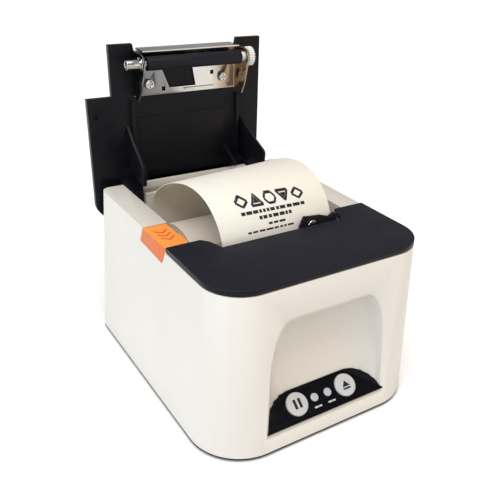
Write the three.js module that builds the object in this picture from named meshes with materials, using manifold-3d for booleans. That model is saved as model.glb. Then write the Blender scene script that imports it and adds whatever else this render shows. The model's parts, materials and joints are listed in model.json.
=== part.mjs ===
// Desktop receipt printer with its paper cover standing open.
// Millimetres, +Z up, front towards -Y, right-hand side towards +X.
import * as THREE from "three";
import { mergeVertices } from "three/addons/utils/BufferGeometryUtils.js";
import Module from "manifold-3d";

const wasm = await Module();
wasm.setup();

// ---- Driving dimensions ----------------------------------------------------
const CLEARANCE = 0.3;
const BODY_WIDTH = 144;
const BODY_DEPTH = 171;
const BODY_TOP = 112;
const BODY_FLOOR = 3;
const PLATE_FLOOR = 1.8;
const FRONT_CORNER = 24;
const CORNER_GROWTH = 10;
const REAR_CORNER = 6;
const BODY_FLARE = 6;
const WALL = 2.5;
const LEDGE_UNDERSIDE = 106.8;
const LEDGE_INNER_X = 56;
const LID_REAR_Y = -19.5;
const LID_SEAT = 109.3;
const LID_TOP = 113.2;
const NOTCH_HALF = 47;
const NOTCH_DEPTH = 14.5;
const SKIRT_BOTTOM = 90;
const HINGE_Y = 82.75;
const HINGE_Z = 103;
const HINGE_PIN_RADIUS = 2;
const ARM_INNER_X = 44.6;
const ARM_OUTER_X = 55;
const COVER_FACE_Y = 92.2;
const COVER_BACK_Y = 96;
const COVER_TOP_Z = 204.5;
const COVER_BOTTOM_Z = 86;
const COVER_HALF = 57;
const EAR_X = -74;
const EAR_TOP_Z = 171.2;
const PLATEN_Y = 77.5;
const PLATEN_Z = 194.3;
const PLATEN_RADIUS = 4.5;
const PLATEN_LEFT_X = -38;
const PLATEN_RIGHT_X = 32;
const SHAFT_RADIUS = 2;
const BUSH_RADIUS = 3;
const BRACKET_PLATE_Y = 90.6;
const BRACKET_LEFT_X = -41.6;
const BRACKET_RIGHT_X = 36;
const SHEET_STEEL = 1;
const GEAR_MODULE = 0.5;
const GEAR_LEFT_X = 37;
const GEAR_RIGHT_X = 41;
const PLATEN_TEETH = 24;
const IDLER_TEETH = 40;
const PINION_TEETH = 12;
const MESH_BACKLASH = 0.15;
const ROLL_Y = 33;
const ROLL_Z = 58;
const ROLL_RADIUS = 39;
const ROLL_CORE_RADIUS = 9;
const PAPER_HALF = 39.75;
const PAPER_THICKNESS = 0.4;
const ARCH_FOOT_Z = 101;
const ARCH_TOP_Z = 137.6;
const ARCH_DROP = 5;
const BUCKET_Z = 60;
const BUCKET_RADIUS = 41.5;
const BUCKET_HALF = 44;
const BUCKET_WALL = 2;
const PANEL_SLOPE = THREE.MathUtils.degToRad(38);
const PANEL_LIP_Y = -89.2;
const PANEL_LIP_Z = 14;
const PANEL_THICKNESS = 2;
const SCOOP_HALF = 43;
const SCOOP_BOTTOM = 12.9;
const SCOOP_TOP = 87.5;
const SCOOP_DEPTH = 23;
const SCOOP_DEEPEST_Z = 50;
const SCOOP_LEAN = 0.32;
const BUTTON_RADIUS = 7.3;
const BUTTON_X = 18.4;
const LED_X = 5;
const LED_RADIUS = 2.7;
const BUTTON_V = 10.6;
const LEVER_PIVOT_Y = 16.2;
const LEVER_PIVOT_Z = 108.8;
const BOARD_Z = 7;
const FRAME_RIGHT_X = 43.4;
const HEAD_FRONT_Y = -15.2;
const HEAD_TOP_Z = 100.3;
const MOTOR_FACE_X = FRAME_RIGHT_X + 0.4;

const BODY_CENTRE_Y = (COVER_BACK_Y - BODY_DEPTH / 2 - flareAt(PLATE_FLOOR)) / 2;
// The closed cover brings the platen axis to this place in the body.
const PLATEN_CLOSED_Y = HINGE_Y - (PLATEN_Z - HINGE_Z);
const PLATEN_CLOSED_Z = HINGE_Z + (PLATEN_Y - HINGE_Y);

// ---- Materials -------------------------------------------------------------
const material = (color, roughness, metalness = 0) =>
  new THREE.MeshStandardMaterial({ color, roughness, metalness });
const WHITE_SHELL = material(0xf0ece0, 0.35);
const DARK_LID = material(0x33323a, 0.6);
const BLACK_GLOSS = material(0x111114, 0.25);
const BLACK_PLASTIC = material(0x1a1a1d, 0.5);
const ORANGE = material(0xff8a35, 0.45);
const GREY_BUTTON = material(0xc8c8ca, 0.5);
const LED_LENS = material(0xb9bcc4, 0.3);
const STEEL = material(0xc8cacd, 0.2, 1);
const DARK_RUBBER = material(0x18181c, 0.7);
const NYLON = material(0xf2f1ea, 0.5);
const PAPER = material(0xf3efe4, 0.9);
const CARDBOARD = material(0xa98a63, 0.9);
const GALVANISED = material(0x9a9da0, 0.45, 1);
const ALUMINIUM = material(0xb4b7ba, 0.4, 1);
const CERAMIC = material(0xded8c8, 0.3);
const CIRCUIT_GREEN = material(0x1f6b45, 0.5);

const printer = new THREE.Group();
printer.position.y = -BODY_CENTRE_Y;

function add(name, geometry, finish) {
  const mesh = new THREE.Mesh(geometry, finish);
  mesh.name = name;
  printer.add(mesh);
}

// ---- Solid helpers ---------------------------------------------------------
// How far the body's sides stand out at height z beyond their place at the top.
function flareAt(z) {
  return BODY_FLARE * (1 - z / BODY_TOP);
}

function toSolid(geometry) {
  const bare = new THREE.BufferGeometry();
  bare.setAttribute("position", geometry.getAttribute("position").clone());
  if (geometry.index) bare.setIndex(geometry.index.clone());
  const merged = mergeVertices(bare, 1e-4);
  return new wasm.Manifold(
    new wasm.Mesh({
      numProp: 3,
      vertProperties: merged.attributes.position.array,
      triVerts: new Uint32Array(merged.index.array),
    }),
  );
}

function toGeometry(solid) {
  const mesh = solid.getMesh();
  const geometry = new THREE.BufferGeometry();
  geometry.setAttribute("position", new THREE.BufferAttribute(mesh.vertProperties, 3));
  geometry.setIndex(new THREE.BufferAttribute(mesh.triVerts, 1));
  const flat = geometry.toNonIndexed();
  flat.computeVertexNormals();
  return flat;
}

const join = (...geometries) =>
  toGeometry(geometries.map(toSolid).reduce((a, b) => a.add(b)));
const cut = (geometry, ...tools) =>
  toGeometry(tools.map(toSolid).reduce((a, b) => a.subtract(b), toSolid(geometry)));
const common = (a, b) => toGeometry(toSolid(a).intersect(toSolid(b)));

function box(x0, x1, y0, y1, z0, z1) {
  const geometry = new THREE.BoxGeometry(x1 - x0, y1 - y0, z1 - z0);
  return geometry.translate((x0 + x1) / 2, (y0 + y1) / 2, (z0 + z1) / 2);
}

const outline = (points) => new THREE.Shape(points.map(([u, v]) => new THREE.Vector2(u, v)));

function extrude(shape, depth, steps = 1) {
  return new THREE.ExtrudeGeometry(shape, { depth, steps, bevelEnabled: false, curveSegments: 8 });
}

// A (y, z) outline swept along X.
function prismX(shape, x0, x1) {
  const turn = new THREE.Matrix4().makeBasis(
    new THREE.Vector3(0, 1, 0),
    new THREE.Vector3(0, 0, 1),
    new THREE.Vector3(1, 0, 0),
  );
  return extrude(shape, x1 - x0).applyMatrix4(turn).translate(x0, 0, 0);
}

// An (x, z) outline swept along Y.
function prismY(shape, y0, y1, steps = 1) {
  return extrude(shape, y1 - y0, steps).rotateX(Math.PI / 2).translate(0, y1, 0);
}

// An (x, y) outline swept along Z.
const prismZ = (shape, z0, z1) => extrude(shape, z1 - z0).translate(0, 0, z0);

function rodX(radius, x0, x1, y, z, sides = 24) {
  const rod = new THREE.CylinderGeometry(radius, radius, x1 - x0, sides);
  return rod.rotateZ(Math.PI / 2).translate((x0 + x1) / 2, y, z);
}

function rodY(radius, y0, y1, x, z, sides = 24) {
  const rod = new THREE.CylinderGeometry(radius, radius, y1 - y0, sides);
  return rod.translate(x, (y0 + y1) / 2, z);
}

function rodZ(radius, z0, z1, x, y, sides = 24) {
  const rod = new THREE.CylinderGeometry(radius, radius, z1 - z0, sides);
  return rod.rotateX(Math.PI / 2).translate(x, y, (z0 + z1) / 2);
}

// The housing's plan, with generous front corners and tight rear ones.
function plan(width, depth, inset = 0) {
  const w = width / 2 - inset;
  const d = depth / 2 - inset;
  const front = FRONT_CORNER - inset;
  const rear = REAR_CORNER - inset;
  const shape = new THREE.Shape();
  shape.moveTo(w - front, -d);
  shape.absarc(w - front, -d + front, front, -Math.PI / 2, 0);
  shape.absarc(w - rear, d - rear, rear, 0, Math.PI / 2);
  shape.absarc(-w + rear, d - rear, rear, Math.PI / 2, Math.PI);
  shape.absarc(-w + front, -d + front, front, Math.PI, 1.5 * Math.PI);
  return shape;
}

// Moves each vertex of a geometry with a rule.
function reshape(geometry, rule) {
  const position = geometry.getAttribute("position");
  const point = new THREE.Vector3();
  for (let i = 0; i < position.count; i++) {
    point.fromBufferAttribute(position, i);
    rule(point);
    position.setXYZ(i, point.x, point.y, point.z);
  }
  return geometry;
}

// Widens a prism of the plan towards its foot as the housing does. Each vertex
// belongs to one corner's arc, and the front arcs also open out downwards.
function flared(geometry, inset = 0) {
  return reshape(geometry, (p) => {
    const flare = flareAt(p.z);
    const rear = p.y > 0;
    const radius = (rear ? REAR_CORNER : FRONT_CORNER) - inset;
    const opened = radius + (rear ? 0 : CORNER_GROWTH * (1 - p.z / BODY_TOP));
    const sideX = Math.sign(p.x);
    const sideY = Math.sign(p.y);
    const width = BODY_WIDTH / 2 - inset;
    const depth = BODY_DEPTH / 2 - inset;
    const turnX = (p.x - sideX * (width - radius)) / radius;
    const turnY = (p.y - sideY * (depth - radius)) / radius;
    p.x = sideX * (width + flare - opened) + turnX * opened;
    p.y = sideY * (depth + flare - opened) + turnY * opened;
  });
}

// A coil spring of round wire along Y or X.
function coil(start, end, radius, wire, turns) {
  const axis = end.clone().sub(start);
  const side = new THREE.Vector3(0, 0, 1);
  const other = axis.clone().normalize().cross(side);
  const points = [];
  const count = turns * 8;
  for (let i = 0; i <= count; i++) {
    const turn = (i / 8) * 2 * Math.PI;
    const point = start.clone().addScaledVector(axis, i / count);
    point.addScaledVector(side, radius * Math.cos(turn));
    point.addScaledVector(other, radius * Math.sin(turn));
    points.push(point);
  }
  const section = new THREE.Shape().absarc(0, 0, wire / 2, 0, 2 * Math.PI);
  const path = new THREE.CatmullRomCurve3(points);
  const options = { steps: count, extrudePath: path, curveSegments: 3, bevelEnabled: false };
  return new THREE.ExtrudeGeometry(section, options);
}

// ---- Front scoop and its sloping panel -------------------------------------
function scoopOutline(shrink) {
  const half = SCOOP_HALF - shrink;
  const top = SCOOP_TOP - shrink;
  const shape = new THREE.Shape();
  shape.moveTo(half, SCOOP_BOTTOM + shrink);
  shape.lineTo(half - 2, 56);
  shape.bezierCurveTo(half - 3.5, 74, half - 9, top, half - 17, top);
  shape.lineTo(17 - half, top);
  shape.bezierCurveTo(9 - half, top, 3.5 - half, 74, 2 - half, 56);
  shape.lineTo(-half, SCOOP_BOTTOM + shrink);
  return shape;
}

// The hollow narrows along a quarter ellipse as it goes in, and it opens in a
// bevelled rim where it meets the sloping front face. It is deepest at half its
// height, and from there its back leans forward down to the panel.
function scoop(grow) {
  const rings = 7;
  const rimFlare = 1.085;
  const solid = prismY(scoopOutline(-grow), 0, rings, rings);
  return reshape(solid, (p) => {
    const ring = Math.round(p.y);
    let depth = -1.4;
    let lean = 0;
    let scaleX = rimFlare;
    let scaleZ = rimFlare;
    if (ring > 0) {
      const angle = ((ring - 1) / (rings - 1)) * (Math.PI / 2);
      const narrow = 1 - Math.cos(angle);
      depth = 2 + (SCOOP_DEPTH - 2 + grow) * Math.sin(angle);
      lean = SCOOP_LEAN * Math.sin(angle);
      scaleX = 1 - 0.48 * narrow;
      scaleZ = 1 - 0.48 * narrow;
    }
    p.x *= scaleX;
    p.z = SCOOP_BOTTOM + (p.z - SCOOP_BOTTOM) * scaleZ;
    p.y = -BODY_DEPTH / 2 - flareAt(p.z) + depth - lean * Math.max(0, SCOOP_DEEPEST_Z - p.z);
  });
}

// Stands a solid, drawn with x across, y up the slope and z out of the panel,
// on the panel's plane.
function onPanel(geometry) {
  return geometry.rotateX(PANEL_SLOPE).translate(0, PANEL_LIP_Y, PANEL_LIP_Z);
}

// ---- Housing ---------------------------------------------------------------
function leverOutline(gap) {
  return outline([
    [-19 - gap, 112.9 + 20 * gap],
    [12.2 + 2.4 * gap, 112.3 + 20 * gap],
    [12.2 + 2.4 * gap, 112.3],
    [17 + gap, 102.4 - gap],
    [-14.4 - gap, 101.2 - gap],
    [-19 - gap, 111.4],
  ]);
}

function mainBody() {
  const outer = flared(prismZ(plan(BODY_WIDTH, BODY_DEPTH), BODY_FLOOR, BODY_TOP));
  const hollow = flared(prismZ(plan(BODY_WIDTH, BODY_DEPTH, WALL), -1, LEDGE_UNDERSIDE), WALL);
  const bowl = common(scoop(WALL), outer);
  const below = onPanel(box(-60, 60, -5, 45, -30, -0.2));
  const additions = [bowl, box(-70.5, -54.2, -27, 24, 96, BODY_TOP - 1)];
  for (const side of [-1, 1]) {
    const inner = side * LEDGE_INNER_X;
    const edges = [inner, inner + side * 2].sort((a, b) => a - b);
    additions.push(box(edges[0], edges[1], LID_REAR_Y, 84, SKIRT_BOTTOM, BODY_TOP));
    const boss = [inner, inner + side * 7].sort((a, b) => a - b);
    additions.push(box(boss[0], boss[1], 77, 84.2, 96, BODY_TOP - 1));
    for (const y of [-62, 62]) additions.push(rodZ(4, 4.2, BODY_TOP - 1, side * 64, y, 16));
  }
  const filled = join(cut(outer, hollow), ...additions);
  const tools = [
    cut(scoop(0), below),
    onPanel(box(-38, 38, 3.2, 18.2, -20, 1)),
    box(-LEDGE_INNER_X, LEDGE_INNER_X, LID_REAR_Y, 83, SKIRT_BOTTOM - 2, BODY_TOP + 2),
    box(-50, 50, -60, LID_REAR_Y + 1, 90, BODY_TOP + 2),
    box(-90, 90, -100, LID_REAR_Y + CLEARANCE, LID_SEAT, BODY_TOP + 2),
    prismX(leverOutline(0.5), -80, -54),
    box(-66.4, -58.2, 8, 21, 104.5, 111.3),
    rodX(1.5, -69.6, -55, LEVER_PIVOT_Y, LEVER_PIVOT_Z, 16),
    box(-51.5, -38.5, 80, 100, 9, 21.5),
    box(-27, -13.2, 80, 100, 9, 21.5),
    box(-1.2, 16.2, 80, 100, 9, 23.5),
    box(29.6, 50.4, 80, 100, 9.6, 24.4),
  ];
  for (const side of [-1, 1]) {
    const slot = [side * (ARM_INNER_X - 2.6), side * (LEDGE_INNER_X + 0.01)].sort((a, b) => a - b);
    tools.push(box(slot[0], slot[1], 78, 100, 93, BODY_TOP + 2));
    const hole = [side * (LEDGE_INNER_X - 1), side * 61.3].sort((a, b) => a - b);
    tools.push(rodX(HINGE_PIN_RADIUS + CLEARANCE, hole[0], hole[1], HINGE_Y, HINGE_Z));
    for (const y of [-62, 62]) tools.push(rodZ(1.8, 3, 17, side * 64, y, 16));
  }
  return cut(filled, ...tools);
}

function basePlate() {
  const rim = flared(prismZ(plan(BODY_WIDTH, BODY_DEPTH), PLATE_FLOOR, BODY_FLOOR - CLEARANCE));
  const inset = WALL + 0.6;
  const tray = flared(prismZ(plan(BODY_WIDTH, BODY_DEPTH, inset), PLATE_FLOOR, 4.2), inset);
  const posts = [-50, 50].flatMap((x) => [-48, 56].map((y) => rodZ(3, 3, BOARD_Z - CLEARANCE, x, y, 12)));
  const holes = [-64, 64].flatMap((x) => [-62, 62].map((y) => rodZ(3.2, 1, 5, x, y, 16)));
  return cut(join(rim, tray, ...posts), ...holes);
}

function baseScrew(x, y) {
  return join(rodZ(2.8, 2, 3.4, x, y, 16), rodZ(1.5, 3, 14, x, y, 12));
}

function frontLid() {
  const footprint = prismZ(plan(BODY_WIDTH, BODY_DEPTH), LID_SEAT + CLEARANCE, LID_TOP);
  const front = box(-90, 90, -100, LID_REAR_Y, 100, 130);
  const notchFront = LID_REAR_Y - NOTCH_DEPTH;
  const notch = outline([
    [-NOTCH_HALF - 3, LID_REAR_Y + 2],
    [-NOTCH_HALF - 3, LID_REAR_Y],
    [-NOTCH_HALF + 1, LID_REAR_Y - 5],
    [-NOTCH_HALF + 4, notchFront],
    [NOTCH_HALF - 3, notchFront],
    [NOTCH_HALF, LID_REAR_Y - 5],
    [NOTCH_HALF + 2, LID_REAR_Y],
    [NOTCH_HALF + 2, LID_REAR_Y + 2],
  ]);
  const ribs = [
    box(-48, 48, -58.5, -56.5, 105, LID_SEAT + 1),
    box(-49, -47, -58.5, -36, 105, LID_SEAT + 1),
    box(47, 49, -58.5, -36, 105, LID_SEAT + 1),
  ];
  return cut(join(common(footprint, front), ...ribs), prismZ(notch, 100, 130));
}

// ---- Paper bay -------------------------------------------------------------
function troughPath(radius) {
  const points = [];
  const steps = 18;
  for (let i = 0; i <= steps; i++) {
    const angle = Math.PI + (i / steps) * Math.PI;
    points.push([ROLL_Y + radius * Math.cos(angle), BUCKET_Z + radius * Math.sin(angle)]);
  }
  return points;
}

function paperBucket() {
  const inner = troughPath(BUCKET_RADIUS);
  const outer = troughPath(BUCKET_RADIUS + BUCKET_WALL);
  const front = ROLL_Y - BUCKET_RADIUS;
  const rear = ROLL_Y + BUCKET_RADIUS;
  const sheet = [
    [front, 68],
    ...inner,
    [rear, 107],
    [rear + BUCKET_WALL, 107],
    ...outer.reverse(),
    [front - BUCKET_WALL, 68],
  ];
  const cheek = [
    [-4, 68],
    [3, 86],
    [60, 86],
    [rear + BUCKET_WALL, 98],
    ...troughPath(BUCKET_RADIUS + BUCKET_WALL).reverse(),
    [front - BUCKET_WALL, 68],
  ];
  const wall = BUCKET_HALF - BUCKET_WALL;
  return join(
    prismX(outline(sheet), -BUCKET_HALF, BUCKET_HALF),
    prismX(outline(cheek), -BUCKET_HALF, -wall),
    prismX(outline(cheek), wall, BUCKET_HALF),
  );
}

function tube(outerRadius, innerRadius, x0, x1, y, z, sides) {
  const profile = [
    new THREE.Vector2(innerRadius, x0),
    new THREE.Vector2(outerRadius, x0),
    new THREE.Vector2(outerRadius, x1),
    new THREE.Vector2(innerRadius, x1),
    new THREE.Vector2(innerRadius, x0),
  ];
  return new THREE.LatheGeometry(profile, sides).rotateZ(-Math.PI / 2).translate(0, y, z);
}

// The strip leaves the back of the roll, arches over it and dips into the slot.
// Its arch hangs lower on the left, as loose paper does.
function receiptStrip() {
  const rear = ROLL_Y + ROLL_RADIUS + PAPER_THICKNESS / 2 + CLEARANCE;
  const route = [
    [rear, ROLL_Z],
    [rear + 0.3, 72],
    [rear + 0.7, 88],
    [rear + 0.2, 99],
    [68, 110],
    [56, 121],
    [40, 130],
    [22, 136.2],
    [5, ARCH_TOP_Z],
    [-9, 134],
    [-20, 125.5],
    [-26, 116],
    [-28, 108],
    [-28.4, ARCH_FOOT_Z],
  ];
  const curve = new THREE.SplineCurve(route.map(([y, z]) => new THREE.Vector2(y, z)));
  const left = [];
  const right = [];
  const steps = 34;
  for (let i = 0; i <= steps; i++) {
    const point = curve.getPoint(i / steps);
    const tangent = curve.getTangent(i / steps);
    const offset = PAPER_THICKNESS / 2;
    left.push([point.x - tangent.y * offset, point.y + tangent.x * offset]);
    right.push([point.x + tangent.y * offset, point.y - tangent.x * offset]);
  }
  const strip = prismX(outline([...left, ...right.reverse()]), -PAPER_HALF, PAPER_HALF);
  return reshape(strip, (p) => {
    const height = Math.max(0, (p.z - ARCH_FOOT_Z) / (ARCH_TOP_Z - ARCH_FOOT_Z));
    const share = (PAPER_HALF - p.x) / (2 * PAPER_HALF);
    p.z -= ARCH_DROP * height * share;
  });
}

// ---- Release lever ---------------------------------------------------------
function releaseLever() {
  const handle = prismX(leverOutline(0), -72.4, -COVER_HALF - 0.4);
  const eye = outline([[8, 105.5], [17.4, 106.8], [18.2, 108.8], [17.2, 110.3], [8, 110.3]]);
  const tang = prismX(eye, -66, -61.8);
  const nub = box(-58, -51.5, -3, 5, 104, 107.2);
  const hole = rodX(1.55, -67, -60, LEVER_PIVOT_Y, LEVER_PIVOT_Z, 16);
  return cut(join(handle, tang, nub), hole);
}

function leverSpring() {
  const start = new THREE.Vector3(-61.2, LEVER_PIVOT_Y, LEVER_PIVOT_Z);
  const end = new THREE.Vector3(-58.6, LEVER_PIVOT_Y, LEVER_PIVOT_Z);
  return coil(start, end, 1.9, 0.5, 3);
}

// ---- Operator panel --------------------------------------------------------
function controlPanel() {
  const slab = onPanel(box(-60, 60, 0, 60, 0, PANEL_THICKNESS));
  const holes = [-BUTTON_X, BUTTON_X].map((x) => onPanel(rodZ(BUTTON_RADIUS + 0.35, -1, 4, x, BUTTON_V, 32)));
  const ledHoles = [-LED_X, LED_X].map((x) => onPanel(rodZ(LED_RADIUS + 0.3, -1, 4, x, BUTTON_V, 20)));
  return cut(common(scoop(-0.4), slab), ...holes, ...ledHoles);
}

function panelButton(x) {
  const cap = rodZ(BUTTON_RADIUS, 0.9, 3.4, x, BUTTON_V, 32);
  const stem = rodZ(3, -4, 1, x, BUTTON_V, 16);
  return onPanel(join(cap, stem));
}

const panelLed = (x) => onPanel(rodZ(LED_RADIUS, 0.2, 2.5, x, BUTTON_V, 20));
const buttonBoard = () => onPanel(box(-36, 36, 4, 17.6, -6.8, -5.2));

// ---- Cover -----------------------------------------------------------------
function coverOutline() {
  const r = 12;
  const shape = new THREE.Shape();
  shape.moveTo(EAR_X + r, COVER_BOTTOM_Z);
  shape.lineTo(COVER_HALF - 6, COVER_BOTTOM_Z);
  shape.absarc(COVER_HALF - 6, COVER_BOTTOM_Z + 6, 6, -Math.PI / 2, 0);
  shape.lineTo(COVER_HALF, COVER_TOP_Z);
  shape.lineTo(38, COVER_TOP_Z);
  shape.lineTo(36.8, 198.4);
  shape.lineTo(-39.4, 198.4);
  shape.lineTo(-40.6, COVER_TOP_Z);
  shape.lineTo(-COVER_HALF, COVER_TOP_Z);
  shape.lineTo(-COVER_HALF, EAR_TOP_Z);
  shape.lineTo(EAR_X, EAR_TOP_Z);
  shape.lineTo(EAR_X, COVER_BOTTOM_Z + r);
  shape.absarc(EAR_X + r, COVER_BOTTOM_Z + r, r, Math.PI, 1.5 * Math.PI);
  return shape;
}

function rearCover() {
  const plate = prismY(coverOutline(), COVER_FACE_Y, COVER_BACK_Y);
  const gusset = outline([[COVER_FACE_Y + 1, 128], [76, 119], [74.5, 116], [COVER_FACE_Y + 1, 116]]);
  const parts = [
    plate,
    box(-42.5, 27, 91.4, COVER_FACE_Y + 1, 112, 156),
    box(27, 36.4, 91.8, COVER_FACE_Y + 1, 112, 164),
    box(-44.8, -42.6, 88.6, COVER_FACE_Y + 1, 106, 168),
    box(36.2, 38.4, 88.6, COVER_FACE_Y + 1, 113, 166),
    prismX(gusset, 27.2, 29.6),
  ];
  for (const side of [-1, 1]) {
    const arm = [side * ARM_INNER_X, side * ARM_OUTER_X].sort((a, b) => a - b);
    const profile = [[93, 113], [84, 111.4], [78, 108], [76.4, 103], [78, 98], [83, 95], [93, 95]];
    parts.push(prismX(outline(profile), arm[0], arm[1]));
  }
  const pinHole = rodX(HINGE_PIN_RADIUS + CLEARANCE, -60, 60, HINGE_Y, HINGE_Z);
  const earHole = box(-71, -67.6, 80, COVER_FACE_Y + 1.6, 157.6, 161.8);
  return cut(join(...parts), pinHole, earHole);
}

// The cheeks keep the roll from wandering sideways. The right one reaches
// further down, between the roll's end and the bucket's wall.
function leftGuide() {
  const profile = [[91.9, 151], [84, 142.5], [69, 129.5], [66.8, 125], [68, 115], [78, 115.5], [91.9, 120]];
  return prismX(outline(profile), -48.3, -45.3);
}

function rightGuide() {
  const profile = [[91.5, 149], [84, 144], [56.2, 132], [54.6, 130], [55.4, 121.5], [70, 116], [91.5, 118]];
  return prismX(outline(profile), PAPER_HALF + 0.45, BUCKET_HALF - BUCKET_WALL - CLEARANCE);
}

function hingePin(side) {
  const edges = [side * (ARM_INNER_X + 0.3), side * 61].sort((a, b) => a - b);
  return rodX(HINGE_PIN_RADIUS, edges[0], edges[1], HINGE_Y, HINGE_Z);
}

// An ear of the bracket, down to a tip at tipY.
function bracketEar(tipY) {
  const plateBack = BRACKET_PLATE_Y + SHEET_STEEL;
  return outline([
    [plateBack, 200.4],
    [77.5, 200.4],
    [73, 199],
    [71.2, 194.5],
    [72.8, 187],
    [(tipY + 72.8) / 2 - 1, 177.5],
    [tipY, 168.4],
    [plateBack, 171.6],
  ]);
}

function platenBracket() {
  const plateBack = BRACKET_PLATE_Y + SHEET_STEEL;
  const plate = box(BRACKET_LEFT_X, BRACKET_RIGHT_X, BRACKET_PLATE_Y, plateBack, 170.5, 200.4);
  const windowFrame = outline([[-23, 192], [1, 192], [4, 174.6], [-16, 174.6]]);
  const lip = box(-5.5, 18, 88.8, BRACKET_PLATE_Y + 0.5, 172.4, 173.6);
  const body = join(
    plate,
    prismX(bracketEar(84.6), BRACKET_LEFT_X, BRACKET_LEFT_X + SHEET_STEEL),
    prismX(bracketEar(80), BRACKET_RIGHT_X - SHEET_STEEL, BRACKET_RIGHT_X),
    lip,
  );
  return cut(
    body,
    prismY(windowFrame, 85, 95),
    rodX(BUSH_RADIUS + CLEARANCE, -45, 40, PLATEN_Y, PLATEN_Z, 32),
    rodY(1.8, 85, 95, -31, 178.3, 16),
    rodY(1.8, 85, 95, 25.4, 178.8, 16),
    box(-21.8, -19, 85, 95, 172.8, 175.6),
    box(15.7, 18.3, 85, 95, 181.2, 183.8),
  );
}

function bracketScrew(x, z) {
  const head = rodY(3.1, 88.5, BRACKET_PLATE_Y - CLEARANCE, x, z, 20);
  const shank = rodY(1.4, 89.5, COVER_FACE_Y - 0.2, x, z, 12);
  const crossA = box(x - 2.2, x + 2.2, 88, 89.3, z - 0.4, z + 0.4);
  const crossB = box(x - 0.4, x + 0.4, 88, 89.3, z - 2.2, z + 2.2);
  return cut(join(head, shank), crossA, crossB);
}

// A steel strip with a saw edge where the paper is torn off.
function tearBar() {
  const teeth = 24;
  const left = -38.6;
  const right = 33;
  const pitch = (right - left) / teeth;
  const points = [[left, 80.4], [right, 80.4]];
  for (let i = 0; i < teeth; i++) {
    points.push([right - i * pitch, 93]);
    points.push([right - (i + 0.5) * pitch, 94.4]);
  }
  points.push([left, 93]);
  return prismZ(outline(points), 200.8, 200.8 + SHEET_STEEL);
}

// ---- Gear train ------------------------------------------------------------
function gearOutline(teeth, y, z, toothAngle) {
  const pitchRadius = (teeth * GEAR_MODULE) / 2;
  const tip = pitchRadius + 0.42;
  const root = pitchRadius - 0.6;
  const pitch = (2 * Math.PI) / teeth;
  const shape = [];
  for (let i = 0; i < teeth; i++) {
    const centre = toothAngle + i * pitch;
    const steps = [
      [-0.32, root],
      [-0.12, tip],
      [0.12, tip],
      [0.32, root],
    ];
    for (const [share, radius] of steps) {
      const angle = centre + share * pitch;
      shape.push([y + radius * Math.cos(angle), z + radius * Math.sin(angle)]);
    }
  }
  return outline(shape);
}

const TRAIN_ANGLE = Math.atan2(-13.87, -10.09);
const gearRadius = (teeth) => (teeth * GEAR_MODULE) / 2;
const IDLER_REACH = gearRadius(PLATEN_TEETH) + gearRadius(IDLER_TEETH) + MESH_BACKLASH;
const IDLER_Y = PLATEN_CLOSED_Y + IDLER_REACH * Math.cos(TRAIN_ANGLE);
const IDLER_Z = PLATEN_CLOSED_Z + IDLER_REACH * Math.sin(TRAIN_ANGLE);
const PINION_REACH = gearRadius(IDLER_TEETH) + gearRadius(PINION_TEETH) + MESH_BACKLASH;
const PINION_Y = IDLER_Y + PINION_REACH * Math.cos(TRAIN_ANGLE);
const PINION_Z = IDLER_Z + PINION_REACH * Math.sin(TRAIN_ANGLE);

function platenGear() {
  const blank = prismX(gearOutline(PLATEN_TEETH, PLATEN_Y, PLATEN_Z, TRAIN_ANGLE), GEAR_LEFT_X, GEAR_RIGHT_X);
  const dish = tube(4.6, 3.2, GEAR_RIGHT_X - 0.8, GEAR_RIGHT_X + 1, PLATEN_Y, PLATEN_Z, 24);
  const bore = rodX(SHAFT_RADIUS + CLEARANCE, GEAR_LEFT_X - 1, GEAR_RIGHT_X + 1, PLATEN_Y, PLATEN_Z);
  return cut(blank, dish, bore);
}

function idlerGear() {
  const halfPitch = Math.PI / IDLER_TEETH;
  const toothed = gearOutline(IDLER_TEETH, IDLER_Y, IDLER_Z, TRAIN_ANGLE + halfPitch);
  const blank = prismX(toothed, GEAR_LEFT_X, GEAR_RIGHT_X);
  return cut(blank, rodX(1.8, GEAR_LEFT_X - 1, GEAR_RIGHT_X + 1, IDLER_Y, IDLER_Z, 16));
}

function motorPinion() {
  const gear = prismX(gearOutline(PINION_TEETH, PINION_Y, PINION_Z, TRAIN_ANGLE), GEAR_LEFT_X, GEAR_RIGHT_X);
  return join(gear, rodX(1.2, GEAR_LEFT_X - 0.8, MOTOR_FACE_X - CLEARANCE, PINION_Y, PINION_Z, 16));
}

function stepperMotor() {
  const can = rodX(13.5, MOTOR_FACE_X, MOTOR_FACE_X + 17, PINION_Y, PINION_Z, 32);
  const plugX = MOTOR_FACE_X + 4;
  const plug = box(plugX, plugX + 9, PINION_Y - 5, PINION_Y + 5, PINION_Z - 17, PINION_Z - 10);
  return join(can, plug);
}

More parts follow.
